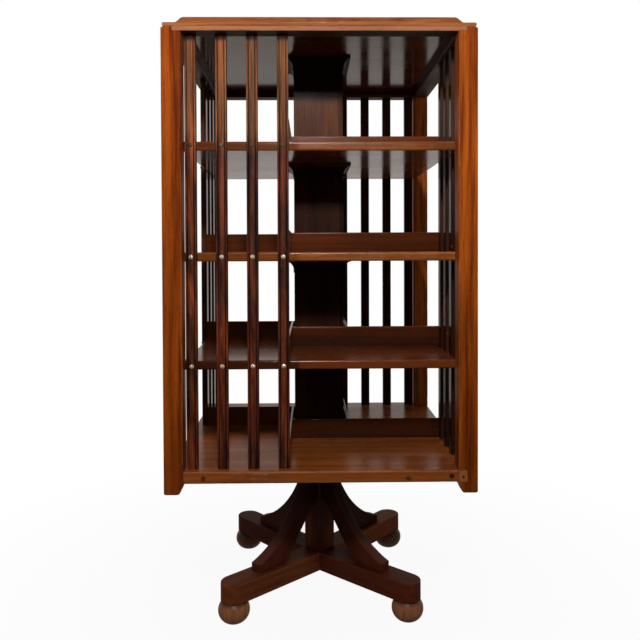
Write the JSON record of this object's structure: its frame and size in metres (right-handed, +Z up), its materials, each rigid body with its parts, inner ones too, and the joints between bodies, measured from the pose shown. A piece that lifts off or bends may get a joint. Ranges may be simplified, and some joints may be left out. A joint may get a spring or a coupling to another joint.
{
  "type": "revolving bookcase",
  "caption": "Square floor-standing revolving bookcase with open tiers, reeded slats on half of each face and a moulded top, turning on a cross-shaped pedestal with bun feet.",
  "frame": {"origin": "on the floor under the turning axis, at the bottom centre of the bounding box", "axes": "+Z up along the turning axis, -Y out of the front face, +X to the right of the front face"},
  "size_m": [0.61, 0.61, 1.2425],
  "materials": {
    "case_wood": "polished reddish brown mahogany",
    "shelf_wood": "polished reddish brown mahogany",
    "slat_wood": "polished dark brown wood",
    "column_wood": "polished dark brown wood",
    "pedestal_wood": "polished dark brown wood",
    "foot_wood": "worn brown wood",
    "brass": "aged brass",
    "iron": "oiled iron"
  },
  "bodies": {
    "pedestal": {"base_arm_lower": "pedestal_wood", "base_arm_upper": "pedestal_wood", "foot_front_left": "foot_wood", "foot_front_right": "foot_wood", "foot_back_right": "foot_wood", "foot_back_left": "foot_wood", "brace_front_left": "pedestal_wood", "brace_front_right": "pedestal_wood", "brace_back_right": "pedestal_wood", "brace_back_left": "pedestal_wood", "center_post": "pedestal_wood", "post_ferrule": "iron", "pivot_spindle": "iron"},
    "case": {"post_front_left": "case_wood", "post_front_right": "case_wood", "post_back_right": "case_wood", "post_back_left": "case_wood", "bottom_board": "case_wood", "shelf_lower": "shelf_wood", "shelf_middle": "shelf_wood", "shelf_upper": "shelf_wood", "top_rail_front": "case_wood", "top_rail_right": "case_wood", "top_rail_back": "case_wood", "top_rail_left": "case_wood", "top_board": "case_wood", "column_board_front": "column_wood", "column_board_right": "column_wood", "column_board_back": "column_wood", "column_board_left": "column_wood", "slat_front_1": "slat_wood", "slat_front_2": "slat_wood", "slat_front_3": "slat_wood", "slat_front_4": "slat_wood", "slat_right_1": "slat_wood", "slat_right_2": "slat_wood", "slat_right_3": "slat_wood", "slat_right_4": "slat_wood", "slat_back_1": "slat_wood", "slat_back_2": "slat_wood", "slat_back_3": "slat_wood", "slat_back_4": "slat_wood", "slat_left_1": "slat_wood", "slat_left_2": "slat_wood", "slat_left_3": "slat_wood", "slat_left_4": "slat_wood", "slat_screws": "brass", "capital_lower": "column_wood", "capital_middle": "column_wood", "capital_upper": "column_wood", "capital_top": "column_wood", "book_stops_bottom": "shelf_wood", "book_stops_lower": "shelf_wood", "book_stops_middle": "shelf_wood", "book_stops_upper": "shelf_wood", "pivot_bridge": "column_wood", "pivot_cup": "iron", "guide_bush": "brass"}
  },
  "joints": [
    {"name": "case_turn", "type": "hinge", "parent": "pedestal", "child": "case", "pos_m": [0, 0, 0.355], "axis": [0, 0, 1], "continuous": true}
  ]
}
